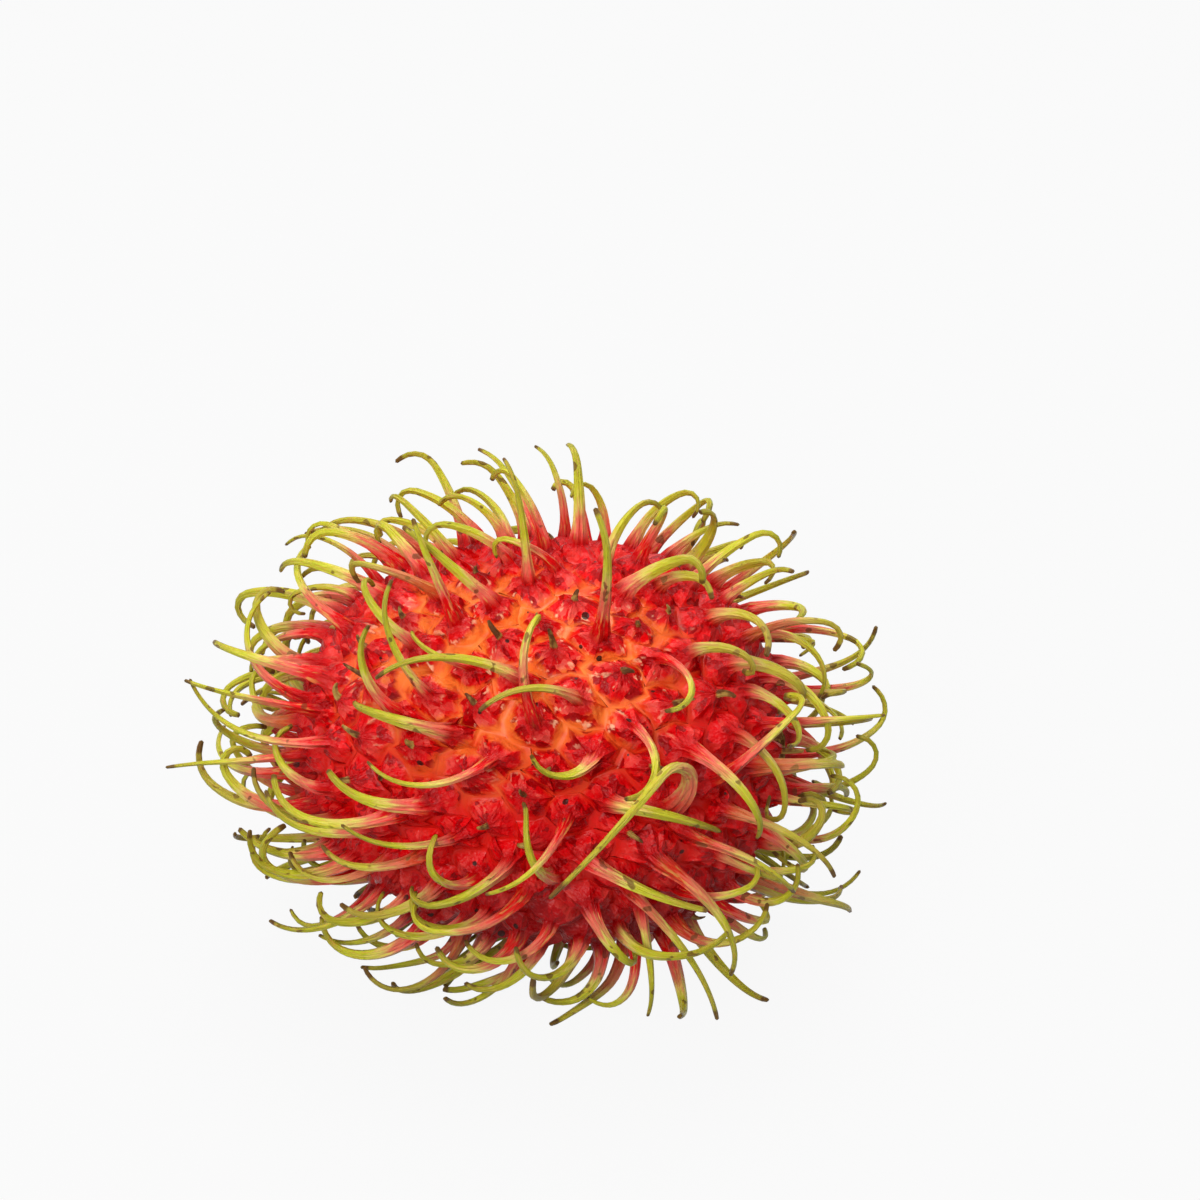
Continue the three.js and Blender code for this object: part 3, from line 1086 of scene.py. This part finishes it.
@dataclass(frozen=True)
class SkinFinish:
    """The finish of the skin: crimson mounds, orange grooves, and spines that go green.

    An edge is the two values between which one look gives way to another. A texture has a scale
    and a detail, facets a scale and a waver, streaks a scale, a level and a softness, and flecks
    a scale, a size and a share.
    """

    roughness: float = 0.2
    roughness_swing: float = 0.25
    specular: float = 0.17
    subsurface: float = 0.08
    scatter: Triple = (1.0, 0.3, 0.15)
    scatter_depth: float = 0.8 * MM
    bump_strength: float = 0.7
    bump_depth: float = 0.4 * MM
    saddle_towards: Triple = (-0.11, -0.5, 0.85)
    # shadow_towards and shadow_edge place the shade that is painted on the underside.
    shadow_towards: Triple = (0.1, -0.5, -0.85)
    narrowing: Triple = (0.62, 1.0, 1.0)
    saddle_edge: Pair = (0.8, 1.12)
    shadow_edge: Pair = (0.55, 0.95)
    root_edge: Pair = (0.0, 0.14)
    crown_edge: Pair = (0.4, 0.85)
    flank_edge: Pair = (0.85, 0.35)
    mound_edge: Pair = (-0.08, 0.28)
    inner_edge: Pair = (0.04, 0.14)
    seam_edge: Pair = (0.0, -0.1)
    dark_facets: Pair = (0.45, 0.2)
    # The rosy facets are partly the skin's pink patches, partly painted highlight.
    rosy_and_sheen_facets: Pair = (0.5, 0.85)
    big_facets: Pair = (1.7, 0.5)
    small_facets: Pair = (1300.0, 0.0006)
    # The cream streaks on the flanks are partly the skin's pale streaks, partly painted
    # highlight.
    cream_and_sheen_streaks: Triple = (2.4, 0.6, 0.1)
    # The pale streaks on the spines are partly their own paler stripes, partly painted highlight.
    pale_and_sheen_streaks: Triple = (2.6, 0.55, 0.1)
    warm_streaks: Triple = (3.3, 0.56, 0.08)
    dark_flecks: Triple = (560.0, 0.24, 0.25)
    brown_blots: Triple = (500.0, 0.4, 0.12)
    clouds: Pair = (150.0, 3.0)
    mottle: Pair = (620.0, 4.0)
    mottle_edge: Pair = (0.42, 0.72)
    blotches: Pair = (260.0, 3.0)
    blotch_edge: Pair = (0.45, 0.7)
    bands: Pair = (3.2, 1.0)
    band_edge: Pair = (0.66, 0.71)
    band_squeeze: Triple = (0.12, 0.12, 1.0)
    wood: Pair = (1500.0, 4.0)
    wood_edge: Pair = (0.4, 0.75)
    husk: Pair = (900.0, 2.0)
    husk_edge: Pair = (0.4, 0.6)
    ripening: Pair = (1.6, 2.0)
    fade_edge: Pair = (0.6, 1.0)
    tip_edge: Pair = (0.97, 1.0)
    wax: Pair = (3.0, 2.0)
    ribs: Pair = (3.5, 3.0)
    dimples: Pair = (1400.0, 2.0)
    pores: Pair = (4200.0, 1.0)
    crumple_edge: Pair = (0.3, 0.0)
    relief_edge: Pair = (0.05, 0.25)
    spine_stops: tuple[tuple[float, Tint], ...] = (
        (0.0, Tint.CRIMSON),
        (0.1, Tint.ROSE),
        (0.22, Tint.SALMON),
        (0.34, Tint.STRAW),
        (0.45, Tint.LIME),
        (0.9, Tint.OLIVE),
    )
    streaks: bpy.types.NodeTree = field(default_factory=streaks_group)
    facets: bpy.types.NodeTree = field(default_factory=facets_group)
    flecks: bpy.types.NodeTree = field(default_factory=flecks_group)

    def material(self, rind: Rind) -> bpy.types.Material:
        """Builds the skin's material.

        Args:
            rind: The rind, for the places of the orange saddle and of the shade painted on the
                underside.

        Returns:
            The material.
        """
        made = bpy.data.materials.new("rambutan_skin")
        made.use_nodes = True
        wiring = Wiring(made.node_tree)
        place = wiring.node("ShaderNodeTexCoord").outputs["Object"]
        grain = wiring.layer("grain", "Vector")
        flesh = self.mound_colour(wiring, place, grain, rind)
        spine = self.spine_colour(wiring, place, grain)
        root = wiring.between(wiring.layer("reach"), *self.root_edge)
        bark = wiring.layer("bark")
        patchy = wiring.between(wiring.noise(place, *self.wood), *self.wood_edge)
        wood = wiring.mix(patchy, Tint.BROWN, Tint.HUSK)
        surface = made.node_tree.nodes["Principled BSDF"].inputs
        colour = wiring.mix(bark, wiring.mix(root, flesh, spine), wood)
        wiring.feed(surface["Base Color"], colour)
        wiring.feed(surface["Roughness"], self.roughness_map(wiring, grain, bark))
        wiring.feed(surface["Normal"], self.relief(wiring, place, grain))
        surface["Specular IOR Level"].default_value = self.specular
        surface["Subsurface Weight"].default_value = self.subsurface
        surface["Subsurface Radius"].default_value = self.scatter
        surface["Subsurface Scale"].default_value = self.scatter_depth
        return made

    def facing(self, wiring: Wiring, place: Socket, rind: Rind, towards: Triple) -> Socket:
        """Returns how far a point lies towards a direction from the middle, from -1 to 1."""
        offset = wiring.vector_sum("SUBTRACT", place, rind.middle * MM)
        narrowed = wiring.vector_sum("MULTIPLY", offset, self.narrowing)
        unit = wiring.vector_sum("NORMALIZE", narrowed)
        return wiring.vector_sum("DOT_PRODUCT", unit, Vector(towards).normalized())

    def zones(self, wiring: Wiring, place: Socket, grain: Socket, rind: Rind) -> Zones:
        """Wires what the colour of the mounds and of the grooves depends on."""
        cloud = wiring.times(wiring.noise(place, *self.clouds), 0.3)
        near_saddle = self.facing(wiring, place, rind, self.saddle_towards)
        painted_shade_side = self.facing(wiring, place, rind, self.shadow_towards)
        big = wiring.group(self.facets, grain, *self.big_facets)["Tone"]
        fine = wiring.group(self.facets, place, *self.small_facets)["Tone"]
        return Zones(
            rise=wiring.layer("rise"),
            tone=wiring.plus(wiring.times(big, 0.6), wiring.times(fine, 0.4)),
            fine=fine,
            saddle=wiring.between(wiring.plus(near_saddle, cloud), *self.saddle_edge),
            # low: the shade painted on the underside.
            low=wiring.between(painted_shade_side, *self.shadow_edge),
        )

    def mound_colour(self, wiring: Wiring, place: Socket, grain: Socket, rind: Rind) -> Socket:
        """Wires the colour of the mounds, of the grooves between them, and of their flecks."""
        zones = self.zones(wiring, place, grain, rind)
        mound = self.mound_tint(wiring, grain, zones)
        groove = self.groove_tint(wiring, place, zones)
        blotch = wiring.between(wiring.noise(place, *self.blotches), *self.blotch_edge)
        spill = wiring.times(wiring.times(blotch, zones.saddle), 0.5)
        waver = wiring.times(wiring.minus(zones.tone, 0.4), 0.35)
        waver = wiring.times(waver, wiring.between(zones.rise, *self.inner_edge))
        edge = wiring.minus(wiring.minus(zones.rise, spill), waver)
        colour = wiring.mix(wiring.between(edge, *self.mound_edge), groove, mound)
        seam = wiring.between(zones.rise, *self.seam_edge)
        seam = wiring.times(seam, wiring.times(zones.saddle, 0.05))
        colour = wiring.mix(seam, colour, Tint.CREAM)
        fleck = wiring.times(wiring.group(self.flecks, place, *self.dark_flecks)["Mask"], 0.92)
        return wiring.mix(fleck, colour, Tint.SOOT)

    def mound_tint(self, wiring: Wiring, grain: Socket, zones: Zones) -> Socket:
        """Wires the mounds: crimson with painted shade below, darker on the crown, partly painted
        highlights on the flanks.
        """
        # Painted shade: the mounds on the underside darkened to DEEP.
        colour = wiring.mix(zones.low, Tint.CRIMSON, Tint.DEEP)
        colour = wiring.mix(wiring.between(zones.tone, *self.dark_facets), colour, Tint.DEEP)
        crown = wiring.between(zones.rise, *self.crown_edge)
        colour = wiring.mix(wiring.times(crown, 0.45), colour, Tint.DEEP)
        # Rosy facets, fewer on the crown: partly the skin's pink patches, partly painted
        # highlight.
        rose_and_sheen = wiring.plus(wiring.times(zones.saddle, 0.6), 0.3)
        rose_and_sheen = wiring.times(rose_and_sheen, wiring.minus(1.0, wiring.times(crown, 0.75)))
        rose_and_sheen = wiring.times(wiring.between(zones.tone, *self.rosy_and_sheen_facets), rose_and_sheen)
        colour = wiring.mix(rose_and_sheen, colour, Tint.ROSE)
        # Cream streaks on the saddle's flanks: partly the skin's pale streaks, partly painted
        # highlight.
        cream_and_sheen = wiring.group(self.streaks, grain, *self.cream_and_sheen_streaks)["Mask"]
        flank = wiring.times(wiring.between(zones.rise, *self.flank_edge), zones.saddle)
        return wiring.mix(wiring.times(cream_and_sheen, flank), colour, Tint.CREAM)

    def groove_tint(self, wiring: Wiring, place: Socket, zones: Zones) -> Socket:
        """Wires the colour of the grooves: rust, orange on the saddle, and painted shade below.
        """
        colour = wiring.mix(wiring.times(zones.fine, 0.5), Tint.RUST, Tint.CRIMSON)
        colour = wiring.mix(zones.saddle, colour, Tint.ORANGE)
        mottle = wiring.between(wiring.noise(place, *self.mottle), *self.mottle_edge)
        colour = wiring.mix(wiring.times(mottle, 0.62), colour, Tint.RUST)
        # Painted shade: the grooves on the underside darkened to DEEP.
        return wiring.mix(wiring.times(zones.low, 0.8), colour, Tint.DEEP)

    def spine_colour(self, wiring: Wiring, place: Socket, grain: Socket) -> Socket:
        """Wires the colour of the spines, from their roots to their tips."""
        reach = wiring.layer("reach")
        seed = wiring.layer("seed")
        shift = wiring.times(wiring.minus(seed, 0.6), 0.4)
        waver = wiring.times(wiring.minus(wiring.noise(grain, *self.ripening), 0.5), 0.5)
        ripe = wiring.plus(reach, wiring.plus(shift, waver))
        colour = wiring.ramp(ripe, self.spine_stops)
        # Pale streaks along the spines: partly their own paler stripes, partly painted highlight.
        pale = wiring.times(wiring.group(self.streaks, grain, *self.pale_and_sheen_streaks)["Mask"], 0.4)
        colour = wiring.mix(pale, colour, Tint.STRAW)
        warm = wiring.times(wiring.group(self.streaks, grain, *self.warm_streaks)["Mask"], 0.35)
        colour = wiring.mix(warm, colour, Tint.SALMON)
        blot = wiring.group(self.flecks, place, *self.brown_blots)["Mask"]
        squeezed = wiring.vector_sum("MULTIPLY", grain, self.band_squeeze)
        band = wiring.between(wiring.noise(squeezed, *self.bands), *self.band_edge)
        blot = wiring.times(wiring.sum("MAXIMUM", blot, band), 0.75)
        colour = wiring.mix(blot, colour, Tint.BROWN)
        own = wiring.sum("FRACT", wiring.times(seed, 7.3))
        faded = wiring.times(wiring.between(own, *self.fade_edge), 0.42)
        colour = wiring.mix(faded, colour, Tint.HUSK)
        worn = wiring.plus(reach, wiring.times(own, 0.08))
        tip = wiring.times(wiring.between(worn, *self.tip_edge), 0.85)
        colour = wiring.mix(tip, colour, Tint.BROWN)
        patchy = wiring.between(wiring.noise(place, *self.husk), *self.husk_edge)
        husk = wiring.mix(patchy, Tint.BROWN, Tint.HUSK)
        return wiring.mix(wiring.layer("dry"), colour, husk)

    def roughness_map(self, wiring: Wiring, grain: Socket, bark: Socket) -> Socket:
        """Wires the roughness: waxy skin that varies a little, and rough bark."""
        waxy = wiring.times(wiring.noise(grain, *self.wax), self.roughness_swing)
        return wiring.plus(wiring.plus(waxy, self.roughness), bark)

    def relief(self, wiring: Wiring, place: Socket, grain: Socket) -> Socket:
        """Wires the fine relief: ribs along the grain, dimples, pores and crumpled mounds."""
        ribs = wiring.noise(grain, *self.ribs)
        dimples = wiring.times(wiring.noise(place, *self.dimples), 0.35)
        pores = wiring.times(wiring.noise(place, *self.pores), 0.12)
        crumple = wiring.group(self.facets, grain, *self.big_facets)["Height"]
        soft = wiring.times(wiring.between(wiring.layer("reach"), *self.crumple_edge), 0.9)
        height = wiring.plus(wiring.plus(ribs, dimples), pores)
        height = wiring.plus(height, wiring.times(crumple, soft))
        inner = wiring.between(wiring.layer("rise"), *self.relief_edge)
        height = wiring.times(wiring.minus(height, 1.0), inner)
        bump = wiring.node(
            "ShaderNodeBump",
            Height=height,
            Strength=self.bump_strength,
            Distance=self.bump_depth,
        )
        return bump.outputs["Normal"]


# ---- The studio ----


@dataclass(frozen=True)
class Lamp:
    """A soft square lamp that faces the fruit from a direction, in degrees and metres."""

    name: str
    azimuth: float
    elevation: float
    distance: float
    size: float
    strength: float

    def light(self, target: Vector) -> None:
        """Adds the lamp. Its strength is what it adds to a surface that faces it."""
        light = bpy.data.lights.new(self.name, "AREA")
        light.size = self.size
        light.energy = self.strength * math.pi**2 * self.distance**2
        lamp = bpy.data.objects.new(self.name, light)
        away = direction_from(self.azimuth, self.elevation)
        lamp.location = target + away * self.distance
        lamp.rotation_euler = (-away).to_track_quat("-Z", "Y").to_euler()
        bpy.context.scene.collection.objects.link(lamp)


def ray_is(wiring: Wiring, *kinds: str) -> Socket:
    """Returns 1 for a ray of any of these kinds, and 0 for the others."""
    path = wiring.node("ShaderNodeLightPath").outputs
    found = path[kinds[0]]
    for kind in kinds[1:]:
        found = wiring.sum("MAXIMUM", found, path[kind])
    return found


def direction_from(azimuth: float, elevation: float) -> Vector:
    """Returns the direction towards a viewer, in degrees: azimuth 0 is the front, 90 is +X."""
    turn = math.radians(azimuth)
    tilt = math.radians(elevation)
    return Vector(
        (math.sin(turn) * math.cos(tilt), -math.cos(turn) * math.cos(tilt), math.sin(tilt))
    )


@dataclass(frozen=True)
class Studio:
    """The floor, the light and the camera."""

    lamps: tuple[Lamp, ...] = (
        Lamp("lamp_above", azimuth=190, elevation=66, distance=0.6, size=0.35, strength=0.66),
        Lamp("lamp_front", azimuth=-15, elevation=36, distance=0.7, size=0.4, strength=0.74),
    )
    horizon: float = 0.24
    zenith: float = 0.77
    backdrop: float = 0.965
    floor_size: float = 4.0
    floor_glow: float = 0.85
    floor_light: float = 1.08
    floor_tone: float = 0.18
    azimuth: float = 9.0
    elevation: float = 33.0
    distance: float = 0.3333
    lens: float = 100.0
    aim_right: float = 5.9 * MM
    aim_up: float = 13.8 * MM

    def set_up(self, target: Vector) -> None:
        """Builds the studio round a target, the middle of the rind."""
        self.lay_floor()
        self.light_world()
        for lamp in self.lamps:
            lamp.light(target)
        self.place_camera(target)
        bpy.context.scene.view_settings.view_transform = "Standard"

    def lay_floor(self) -> None:
        """Lays a pale floor."""
        bpy.ops.object.select_all(action="DESELECT")
        bpy.ops.mesh.primitive_plane_add(size=self.floor_size)
        floor = bpy.context.object
        floor.name = "floor"
        made = bpy.data.materials.new("floor")
        made.use_nodes = True
        surface = made.node_tree.nodes["Principled BSDF"]
        surface.inputs["Base Color"].default_value = (*[self.floor_tone] * 3, 1)
        surface.inputs["Roughness"].default_value = 1
        surface.inputs["Specular IOR Level"].default_value = 0
        wiring = Wiring(made.node_tree)
        seen = ray_is(wiring, "Is Camera Ray", "Is Glossy Ray")
        glow = wiring.node("ShaderNodeEmission", Strength=self.floor_light)
        lit = wiring.tree.nodes.new("ShaderNodeMixShader")
        wiring.feed(lit.inputs[0], wiring.times(seen, self.floor_glow))
        wiring.feed(lit.inputs[1], surface.outputs[0])
        wiring.feed(lit.inputs[2], glow.outputs[0])
        wiring.feed(made.node_tree.nodes["Material Output"].inputs[0], lit.outputs[0])
        floor.data.materials.append(made)

    def light_world(self) -> None:
        """Surrounds the fruit with soft light that falls off downwards, on a white backdrop."""
        world = bpy.data.worlds.new("studio")
        bpy.context.scene.world = world
        world.use_nodes = True
        wiring = Wiring(world.node_tree)
        seen = ray_is(wiring, "Is Camera Ray", "Is Glossy Ray", "Is Transmission Ray")
        towards = wiring.node("ShaderNodeTexCoord").outputs["Generated"]
        height = wiring.node("ShaderNodeSeparateXYZ", Vector=towards).outputs["Z"]
        sky = wiring.node(
            "ShaderNodeMapRange", Value=height, To_Min=self.horizon, To_Max=self.zenith
        )
        strength = wiring.tree.nodes.new("ShaderNodeMix")
        wiring.feed(strength.inputs[0], seen)
        wiring.feed(strength.inputs[2], sky.outputs["Result"])
        wiring.feed(strength.inputs[3], self.backdrop)
        background = wiring.tree.nodes["Background"]
        background.inputs["Color"].default_value = (1, 1, 1, 1)
        wiring.feed(background.inputs["Strength"], strength.outputs[0])

    def place_camera(self, target: Vector) -> None:
        """Places the camera, aimed a little right of the target and above it."""
        data = bpy.data.cameras.new("camera")
        data.lens = self.lens
        data.clip_start = 0.01
        camera = bpy.data.objects.new("camera", data)
        bpy.context.scene.collection.objects.link(camera)
        back = direction_from(self.azimuth, self.elevation)
        right = UP.cross(back).normalized()
        aim = target + right * self.aim_right + back.cross(right) * self.aim_up
        camera.location = target + back * self.distance
        camera.rotation_euler = (aim - camera.location).to_track_quat("-Z", "Y").to_euler()
        bpy.context.scene.camera = camera


# ---- The whole ----


@dataclass
class Rambutan:
    """The fruit: its skin, and the finish of it."""

    skin: Skin = field(default_factory=Skin)
    finish: SkinFinish = field(default_factory=SkinFinish)

    def make(self) -> bpy.types.Object:
        """Builds the fruit, dresses it, and puts it in the place of its CAD node."""
        made = self.skin.build()
        made.data.materials.append(self.finish.material(self.skin.growth.rind))
        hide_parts(NODE)
        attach(made, "root")
        return made


def report(piece: bpy.types.Object) -> None:
    """Logs a piece's name and how many faces it has."""
    triangles = sum(len(face.vertices) - 2 for face in piece.data.polygons)
    LOG.info("%s: %d triangles", piece.name, triangles)


def main() -> None:
    """Builds the fruit and the studio."""
    logging.basicConfig(level=logging.INFO, format="%(name)s: %(message)s")
    rambutan = Rambutan()
    report(rambutan.make())
    Studio().set_up(rambutan.skin.growth.rind.middle * MM)


if __name__ == "__main__":
    main()
